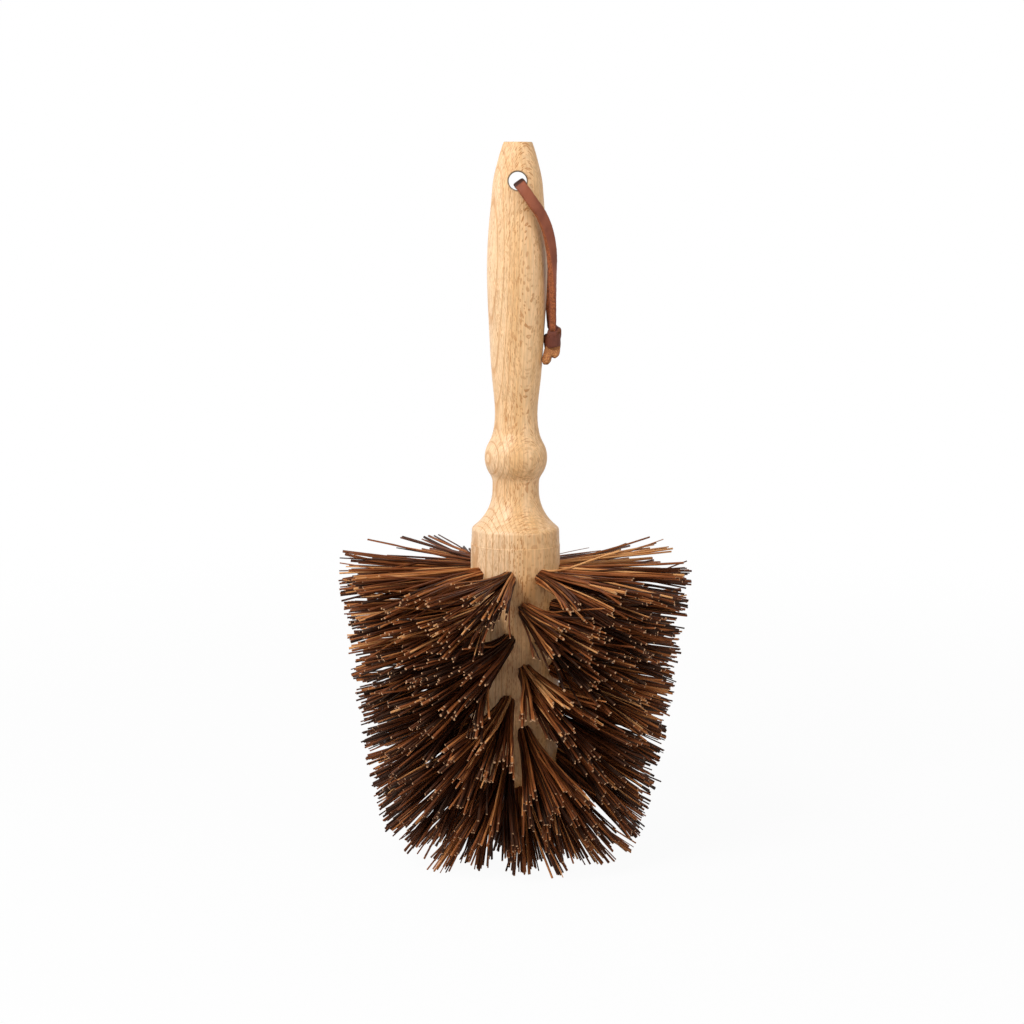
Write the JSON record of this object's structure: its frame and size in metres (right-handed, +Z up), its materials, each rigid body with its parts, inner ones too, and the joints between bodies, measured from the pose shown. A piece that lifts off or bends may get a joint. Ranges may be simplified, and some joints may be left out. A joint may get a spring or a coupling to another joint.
{
  "type": "palm-fibre pot brush",
  "caption": "Long-handled brush with stiff palm-fibre tufts all round a turned wooden core, and a leather strap to hang it by.",
  "frame": {"origin": "on the handle's axis, in the plane that the bristle tips stand on", "axes": "+Z up the handle to its hanging end; +X to the side that the strap hangs on; -Y the front"},
  "size_m": [0.1481, 0.1466, 0.3],
  "materials": {
    "turned_wood": "fine sanded, unvarnished beech",
    "palm_fibre": "matte natural palm fibre, dark brown with tan tips",
    "lace_leather": "smooth grain on the broad faces, rough cut edges",
    "anchor_wire": "drawn flat wire"
  },
  "bodies": {
    "brush": {"handle": "turned_wood", "tuft_anchors": "anchor_wire", "end_tufts": "palm_fibre", "tuft_row1_1": "palm_fibre", "tuft_row1_2": "palm_fibre", "tuft_row1_3": "palm_fibre", "tuft_row1_4": "palm_fibre", "tuft_row1_5": "palm_fibre", "tuft_row1_6": "palm_fibre", "tuft_row1_7": "palm_fibre", "tuft_row1_8": "palm_fibre", "tuft_row2_1": "palm_fibre", "tuft_row2_2": "palm_fibre", "tuft_row2_3": "palm_fibre", "tuft_row2_4": "palm_fibre", "tuft_row2_5": "palm_fibre", "tuft_row2_6": "palm_fibre", "tuft_row2_7": "palm_fibre", "tuft_row2_8": "palm_fibre", "tuft_row3_1": "palm_fibre", "tuft_row3_2": "palm_fibre", "tuft_row3_3": "palm_fibre", "tuft_row3_4": "palm_fibre", "tuft_row3_5": "palm_fibre", "tuft_row3_6": "palm_fibre", "tuft_row3_7": "palm_fibre", "tuft_row3_8": "palm_fibre", "tuft_row4_1": "palm_fibre", "tuft_row4_2": "palm_fibre", "tuft_row4_3": "palm_fibre", "tuft_row4_4": "palm_fibre", "tuft_row4_5": "palm_fibre", "tuft_row4_6": "palm_fibre", "tuft_row4_7": "palm_fibre", "tuft_row4_8": "palm_fibre", "tuft_row5_1": "palm_fibre", "tuft_row5_2": "palm_fibre", "tuft_row5_3": "palm_fibre", "tuft_row5_4": "palm_fibre", "tuft_row5_5": "palm_fibre", "tuft_row5_6": "palm_fibre", "tuft_row5_7": "palm_fibre", "tuft_row5_8": "palm_fibre", "tuft_row6_1": "palm_fibre", "tuft_row6_2": "palm_fibre", "tuft_row6_3": "palm_fibre", "tuft_row6_4": "palm_fibre", "tuft_row6_5": "palm_fibre", "tuft_row6_6": "palm_fibre", "tuft_row6_7": "palm_fibre", "tuft_row6_8": "palm_fibre", "tuft_row7_1": "palm_fibre", "tuft_row7_2": "palm_fibre", "tuft_row7_3": "palm_fibre", "tuft_row7_4": "palm_fibre", "tuft_row7_5": "palm_fibre", "tuft_row7_6": "palm_fibre", "tuft_row7_7": "palm_fibre", "tuft_row7_8": "palm_fibre"},
    "hanging_loop": {"hanging_strap": "lace_leather"}
  },
  "joints": [
    {"name": "loop_swing", "type": "hinge", "parent": "brush", "child": "hanging_loop", "pos_m": [0, 0, 0.2841], "axis": [0, -1, 0], "range_deg": [0, 300]}
  ]
}
